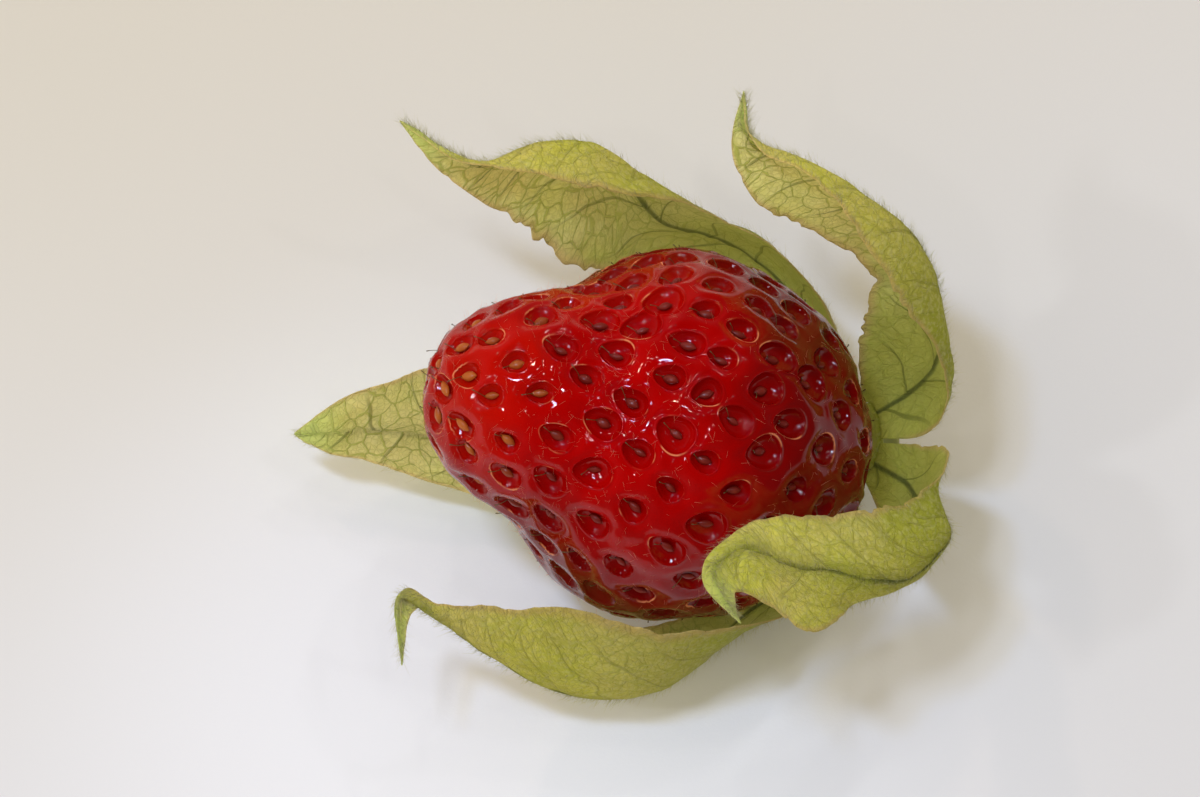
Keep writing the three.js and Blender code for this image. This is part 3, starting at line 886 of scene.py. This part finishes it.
def berry_down(seeds, noise):
    """Short fine hairs between the pits, thickest towards the tip."""
    tries = unit(RANDOM.normal(size=(BERRY_HAIRS * 3, 3)))
    polar = np.arccos(np.clip(tries @ TO_TIP, -1, 1))
    keep = RANDOM.uniform(0, 1, len(tries)) < 0.25 + 0.75 * (1 - smooth(0.4, 1.5, polar))
    roots, fields = berry_points(tries[keep][:BERRY_HAIRS], seeds, noise)
    roots = roots[fields["pit"] < 0.2]
    count = len(roots)
    outwards = unit(roots - BERRY_CENTRE)
    lie = unit(np.cross(outwards, RANDOM.normal(size=(count, 3))))
    stand = RANDOM.uniform(0.1, 0.8, (count, 1))
    lengths = RANDOM.uniform(0.3, 1.0, count)
    radius = RANDOM.uniform(0.0055, 0.0105, count)
    bend = RANDOM.uniform(-0.5, 0.3, (count, 1)) * outwards
    points, faces = hairs(roots, unit(lie + stand * outwards), lengths, radius, bend)
    material = hair("berry_down", (0.8, 0.22, 0.14), (0.95, 0.5, 0.34))
    mesh_object("berry_down", points, faces, material, None, "berry_skin")


# ------------ husk lobes


def curve(points, share):
    """Points at 'share' (0..1) of an even Catmull-Rom curve."""
    points = np.array(points, float)
    ends = np.vstack([2 * points[0] - points[1], points, 2 * points[-1] - points[-2]])
    place = share * (len(points) - 1)
    index = np.clip(place.astype(int), 0, len(points) - 2)
    part = (place - index)[..., None]
    before, start, end, beyond = (ends[index + k] for k in range(4))
    leave = (end - before) / 2
    arrive = (beyond - start) / 2
    bend = -3 * start + 3 * end - 2 * leave - arrive
    twist = 2 * start - 2 * end + leave + arrive
    return start + leave * part + bend * part**2 + twist * part**3


def lobe_sheet(lobe, along, across):
    """Points of a lobe's middle sheet. 'along' is 0..1 to the tip, 'across' -1..1 from edge to edge."""
    start, end = (math.radians(angle) for angle in lobe["roots"])
    ring = CUP_GAP + CUP_THICKNESS / 2

    def hung(points, around):
        root = on_axis(LOBE_ROOT_RADIUS, around, ring)
        return curve([root, *points, lobe["tip"]], along)

    keel = hung(lobe["keel"], (start + end) / 2)
    to_first = hung(lobe["first"], start + LOBE_ROOT_GAP) - keel
    to_second = hung(lobe["second"], end - LOBE_ROOT_GAP) - keel
    across = across[..., None]
    rounded = np.hypot(across, KEEL_SOFTNESS)
    full = (math.hypot(1, KEEL_SOFTNESS) + 1) / 2
    swell = unit(-(to_first + to_second))
    first_width = np.linalg.norm(to_first, axis=-1, keepdims=True)
    second_width = np.linalg.norm(to_second, axis=-1, keepdims=True)
    width = np.where(across < 0, first_width, second_width)
    bulge = 4 * LOBE_BULGE * width * np.abs(across) * (1 - np.abs(across))
    points = keel + to_first * (rounded - across) / 2 / full + to_second * (rounded + across) / 2 / full
    return points + swell * bulge, width[..., 0]


def grid_normals(points):
    lengthwise = np.gradient(points, axis=0)
    crosswise = np.gradient(points, axis=1)
    return unit(np.cross(lengthwise, crosswise))


def vein_map(middle, crosswise, order, noise):
    """Flat coordinates over a lobe in millimetres, the same bent a little so that the net isn't regular,
    and a count of the side veins, which leave the keel at a slant."""
    keel_line = middle[:, LOBE_COLUMNS // 2]
    run = np.concatenate([[0], np.cumsum(np.linalg.norm(np.diff(keel_line, axis=0), axis=1))])
    lengthwise = np.repeat(run[:, None], LOBE_COLUMNS + 1, axis=1)
    flat = np.stack([lengthwise, crosswise, np.full_like(crosswise, 20.0 * order)], axis=-1)
    warp = np.stack([noise(flat, 3.0), noise(flat + 30, 3.0), np.zeros_like(crosswise)], axis=-1)
    net = flat + 0.7 * warp
    offset = np.where(crosswise < 0, BRANCH_OFFSET, 0.0)
    slant = (net[..., 0] - BRANCH_SLANT * np.abs(net[..., 1]) + offset) / BRANCH_SPACING
    return flat, net, slant


def shell_faces(shape):
    """Faces of a closed shell of two like grids of points, the second under the first."""
    count = shape[0] * shape[1]
    number = np.arange(count).reshape(shape)
    corners = [number[:-1, :-1], number[1:, :-1], number[1:, 1:], number[:-1, 1:]]
    top = np.stack(corners, axis=-1).reshape(-1, 4)
    under = top[:, [0, 3, 2, 1]] + count
    loop = np.concatenate([number[0, :-1], number[:-1, -1], number[-1, :0:-1], number[:0:-1, 0]])
    after = np.roll(loop, -1)
    border = np.stack([loop, after, after + count, loop + count], axis=-1)
    return [top, under, border]


def lobe(name, order, noise, material, hair_material):
    """One lobe as a thin closed shell with torn, wavy edges, and its hairs."""
    rows = np.linspace(0, LOBE_END, LOBE_ROWS + 1)
    columns = np.linspace(-1, 1, LOBE_COLUMNS + 1)
    along, across = np.meshgrid(rows, columns, indexing="ij")
    share = np.abs(across)

    # Torn edges, the two sides and each lobe torn in their own way.
    side = np.where(across < 0, 0.0, 40.0)
    edge_place = np.stack([along * EDGE_LENGTH, side, np.full_like(along, 9.0 * order)], axis=-1)
    tears = np.abs(noise(edge_place, 2.6)) + np.maximum(noise(edge_place + 7, 0.8), 0)
    drawn_in = (EDGE_TRIM + TEAR_DEPTH * tears) * smooth(0.02, 0.15, along)
    middle, width = lobe_sheet(LOBES[name], along, across * (1 - drawn_in))

    crosswise = across * width
    flat, net, slant = vein_map(middle, crosswise, order, noise)
    branch = np.abs(slant - np.round(slant)) * BRANCH_GAP
    branch = branch + 0.35 * smooth(0.55, 1.0, share) + 1.5 * smooth(0.9, 1.0, along)

    free = smooth(0.03, 0.2, along) * (1 - smooth(0.93, 1.0, along))
    lift = CRINKLE_HEIGHT * noise(flat, 4.2) + FINE_CRINKLE_HEIGHT * noise(flat + 11, 1.7)
    lift += RUFFLE_HEIGHT * noise(edge_place + 3, 3.4) * smooth(0.6, 1.0, share)
    lift += VEIN_PUFF_HEIGHT * smooth(0.0, 0.9, branch)
    middle = middle + grid_normals(middle) * (lift * free)[..., None]
    normal = grid_normals(middle)

    thickness = LOBE_THICKNESS + (LOBE_EDGE_THICKNESS - LOBE_THICKNESS) * across**2
    thickness = thickness * (1 - 0.4 * smooth(0.8, 1.0, along))
    rib = KEEL_RIB_HEIGHT * ridge(crosswise, 0, KEEL_RIB_WIDTH)
    rib += BRANCH_RIB_HEIGHT * ridge(branch, 0, BRANCH_RIB_WIDTH)
    outer = middle + normal * (thickness / 2 + rib * free)[..., None]
    inner = middle - normal * (thickness / 2)[..., None]
    outer[..., 2] = np.maximum(outer[..., 2], 0)
    inner[..., 2] = np.maximum(inner[..., 2], LOBE_EDGE_THICKNESS)

    def both(first, second):
        return np.concatenate([first.ravel(), second.ravel()])

    rim = smooth(0.9, 1.0, share) * smooth(0.02, 0.1, along)
    attributes = {
        "net": both(net, net).reshape(-1, 3),
        "inside": both(np.zeros_like(along), np.ones_like(along)),
        "rim": both(rim, rim),
        "along": both(along, along),
        "across": both(crosswise, crosswise),
        "edge": both(share, share),
        "slant": both(slant, slant),
    }
    points = both(outer, inner).reshape(-1, 3)
    piece = mesh_object(name + "_leaf", points, shell_faces(along.shape), material, attributes, "husk_paper")
    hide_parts(name)
    lobe_down(name, outer, normal, across, hair_material)


def lobe_down(name, outer, normal, across, material):
    """Hairs on a lobe: thick on the keel and the edges, thinner over its outer face."""
    rows, columns = across.shape
    row = RANDOM.integers(3, rows - 2, LOBE_HAIRS * 8)
    column = RANDOM.integers(0, columns, LOBE_HAIRS * 8)
    where = np.abs(across[row, column])
    chance = 0.1 + 0.9 * ridge(where, 0, 0.06) + 0.9 * smooth(0.95, 1.0, where)
    keep = RANDOM.uniform(0, 1, len(row)) < chance
    row = row[keep][:LOBE_HAIRS]
    column = column[keep][:LOBE_HAIRS]
    count = len(row)
    roots = outer[row, column]
    outwards = normal[row, column]
    forward = unit(outer[np.minimum(row + 1, rows - 1), column] - outer[row - 1, column])
    sideways = np.cross(outwards, forward)
    edge = smooth(0.93, 1.0, np.abs(across[row, column]))[:, None]
    away = -np.sign(across[row, column])[:, None] * sideways
    aim = outwards * (1 - 0.8 * edge) + away * edge + 0.5 * forward
    aim = unit(aim + RANDOM.normal(scale=0.35, size=(count, 3)))
    lengths = RANDOM.uniform(0.3, 0.9, count)
    radius = RANDOM.uniform(0.009, 0.014, count)
    bend = 0.4 * forward + RANDOM.normal(scale=0.25, size=(count, 3))
    # None where the lobe is pressed against the floor.
    high = roots[:, 2] > 0.9
    points, faces = hairs(roots[high], aim[high], lengths[high], radius[high], bend[high])
    points[:, 2] = np.maximum(points[:, 2], HAIR_CLEARANCE)
    mesh_object(name + "_down", points, faces, material, None, "husk_paper")


# ------------ cup and stalk


def turned(profile, sides, flutes):
    """Points and faces of a fluted shape turned about the berry's axis. 'profile' gives each ring's
    radius, how far it is beyond the berry's base and how deep its flutes are, as a share."""
    around = ring_angles(sides)
    rings = []
    for radius, beyond, depth in profile:
        fluted = radius * (1 + depth * np.cos(flutes * around))
        rings.append(on_axis(fluted[:, None], around, beyond))
    return np.concatenate(rings), tube_faces(1, len(profile), sides)


def husk_cup(material):
    """A shallow dish, its hollow towards the berry."""
    base = CUP_GAP
    profile = [
        (0.3, base + 0.02, 0.0),
        (1.6, base + 0.04, 0.01),
        (2.4, base, 0.02),
        (2.75, base - 0.12, 0.02),
        (3.0, base, 0.02),
        (3.25, base + 0.35, 0.03),
        (3.1, base + 0.75, 0.04),
        (2.4, base + 1.0, 0.06),
        (1.5, base + 1.15, 0.06),
        (1.0, base + 1.35, 0.05),
    ]
    sides = 120
    points, faces = turned(profile, sides, 10)
    radius, beyond, _ = np.repeat(profile, sides, axis=0).T
    zeros = np.zeros(len(points))
    # The leaf's own fields, set so that the dish has the green of a lobe's root, a net and no other veins.
    attributes = {
        "net": np.stack([radius * 3, points[:, 1], points[:, 2]], axis=-1),
        "inside": (beyond < base + 0.2).astype(float),
        "rim": zeros,
        "along": zeros,
        "across": zeros + 2,
        "edge": zeros,
        "slant": zeros + 0.5,
    }
    piece = mesh_object("husk_cup_dish", points, faces, material, attributes, "husk_paper")
    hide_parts("husk_cup")


def stalk():
    """A short ribbed stub, flared at its foot, with a slightly hollow cut end."""
    foot = CUP_GAP + CUP_THICKNESS + CUP_CROWN
    rind = [
        (1.5, foot - 0.1, 0.04),
        (1.25, foot + 0.3, 0.06),
        (1.1, foot + 0.8, 0.07),
        (1.06, foot + 1.5, 0.07),
        (1.08, foot + 2.1, 0.07),
        (1.1, foot + 2.4, 0.06),
    ]
    cut_face = [
        (1.02, foot + 2.48, 0.05),
        (0.7, foot + 2.46, 0.02),
        (0.3, foot + 2.42, 0.0),
    ]
    sides = 60
    points, faces = turned(rind + cut_face, sides, 5)
    cut = np.repeat([0.0] * (len(rind) - 1) + [0.2] + [1.0] * len(cut_face), sides)
    piece = mesh_object("stalk_end", points, faces, stalk_green(), {"cut": cut}, "stalk_green")
    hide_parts("stalk_stub")


# ------------ floor, lights and camera


def floor():
    corners = [(-1, -1), (1, -1), (1, 1), (-1, 1)]
    points = np.array([(x * FLOOR_HALF, y * FLOOR_HALF, -FLOOR_DROP) for x, y in corners])
    sheet = mesh_object("floor", points, [np.array([[0, 1, 2, 3]])], floor_paper())


def soft_light(name, turn, height, size, level, colour):
    """A round lamp aimed at the berry. 'turn' runs from the far side towards the left and 'height' up
    from the floor, in degrees. 'level' is the light that it adds to a level white surface."""
    turn = math.radians(turn)
    height = math.radians(height)
    across = math.cos(height)
    toward = Vector((-math.sin(turn) * across, math.cos(turn) * across, math.sin(height)))
    light = bpy.data.lights.new(name, "AREA")
    light.shape = "DISK"
    light.size = size
    light.color = colour
    light.energy = level * math.pi**2 * LAMP_DISTANCE**2 / math.sin(height)
    lamp = bpy.data.objects.new(name, light)
    lamp.location = LAMP_AIM + toward * LAMP_DISTANCE
    lamp.rotation_euler = (-toward).to_track_quat("-Z", "Y").to_euler()
    bpy.context.scene.collection.objects.link(lamp)


def lamps():
    soft_light("cool_lamp", 84, 73, size=0.05, level=0.12, colour=(0.6, 0.85, 1.45))
    soft_light("white_lamp", 95, 78, size=0.06, level=0.16, colour=(0.85, 0.96, 1.2))
    soft_light("low_lamp", 102, 48, size=0.04, level=0.05, colour=(0.98, 1.0, 1.02))
    soft_light("warm_lamp", 35, 50, size=0.03, level=0.03, colour=(1.25, 0.95, 0.7))
    # Small weak lamps, each of which shows as a spark in the wet walls of the pits.
    for turn, height in ((335, 62), (20, 74), (150, 66), (205, 78), (265, 68), (330, 52)):
        name = f"spark_lamp_{turn}"
        soft_light(name, turn, height, size=0.018, level=0.019, colour=(1.0, 0.98, 0.96))


def world_light():
    """A warm room, brighter low down and to the left and the back, that shows only faintly in the gloss."""
    n = Nodes(bpy.data.worlds.new("soft_room"))
    where = n.add("ShaderNodeTexCoord").outputs["Generated"]
    ray = n.add("ShaderNodeLightPath").outputs

    def level(direction, low, high):
        """Strength that runs from 'low' straight against a direction to 'high' straight along it."""
        dot = n.add("ShaderNodeVectorMath", {"operation": "DOT_PRODUCT"})
        n.feed(dot.inputs[0], where)
        n.feed(dot.inputs[1], direction)
        lean = dot.outputs["Value"]
        spread = n.add("ShaderNodeMapRange", Value=lean, From_Min=-1.0, To_Min=low, To_Max=high)
        return spread.outputs[0]

    def glow(colour, strength):
        return n.add("ShaderNodeBackground", Color=colour, Strength=strength).outputs[0]

    leftwards = level((-0.85, 0.53, 0.0), 0.5, 1.5)
    room = glow((1.1, 0.97, 0.72), n.times(level((0.0, 0.0, 1.0), 1.3, 0.42), leftwards))
    mirrored = glow((0.95, 0.97, 1.0), n.times(level((0.0, 0.0, 1.0), 0.3, 0.0), leftwards))
    seen = glow((0.86, 0.855, 0.85), 1.0)
    lit = n.mixed_shader(ray["Is Glossy Ray"], room, mirrored)
    whole = n.mixed_shader(ray["Is Camera Ray"], lit, seen)
    bpy.context.scene.world = n.finish(whole, "ShaderNodeOutputWorld")


def camera():
    """Looks down from the front at a point in the upper half of the berry."""
    data = bpy.data.cameras.new("camera")
    data.lens = CAMERA_LENS
    data.sensor_width = 36
    data.clip_end = 10
    eye = bpy.data.objects.new("camera", data)
    toward = Vector((0, -math.cos(CAMERA_HEIGHT), math.sin(CAMERA_HEIGHT)))
    eye.location = Vector((CAMERA_AIM + SHIFT) * METRES) + toward * CAMERA_DISTANCE
    eye.rotation_euler = (-toward).to_track_quat("-Z", "Y").to_euler()
    bpy.context.scene.collection.objects.link(eye)
    bpy.context.scene.camera = eye


# ------------ the whole

seeds = Seeds()
berry_noise = Noise(seed=3)
berry(seeds, berry_noise)
seed_bodies(seeds)
style_threads(seeds)
berry_down(seeds, berry_noise)

paper = husk_paper()
down = hair("husk_down", (0.5, 0.5, 0.25), (0.8, 0.78, 0.5))
for order, name in enumerate(LOBES):
    lobe(name, order, Noise(seed=11 + order), paper, down)
husk_cup(paper)
stalk()

floor()
lamps()
world_light()
camera()
bpy.context.scene.view_settings.view_transform = "Standard"
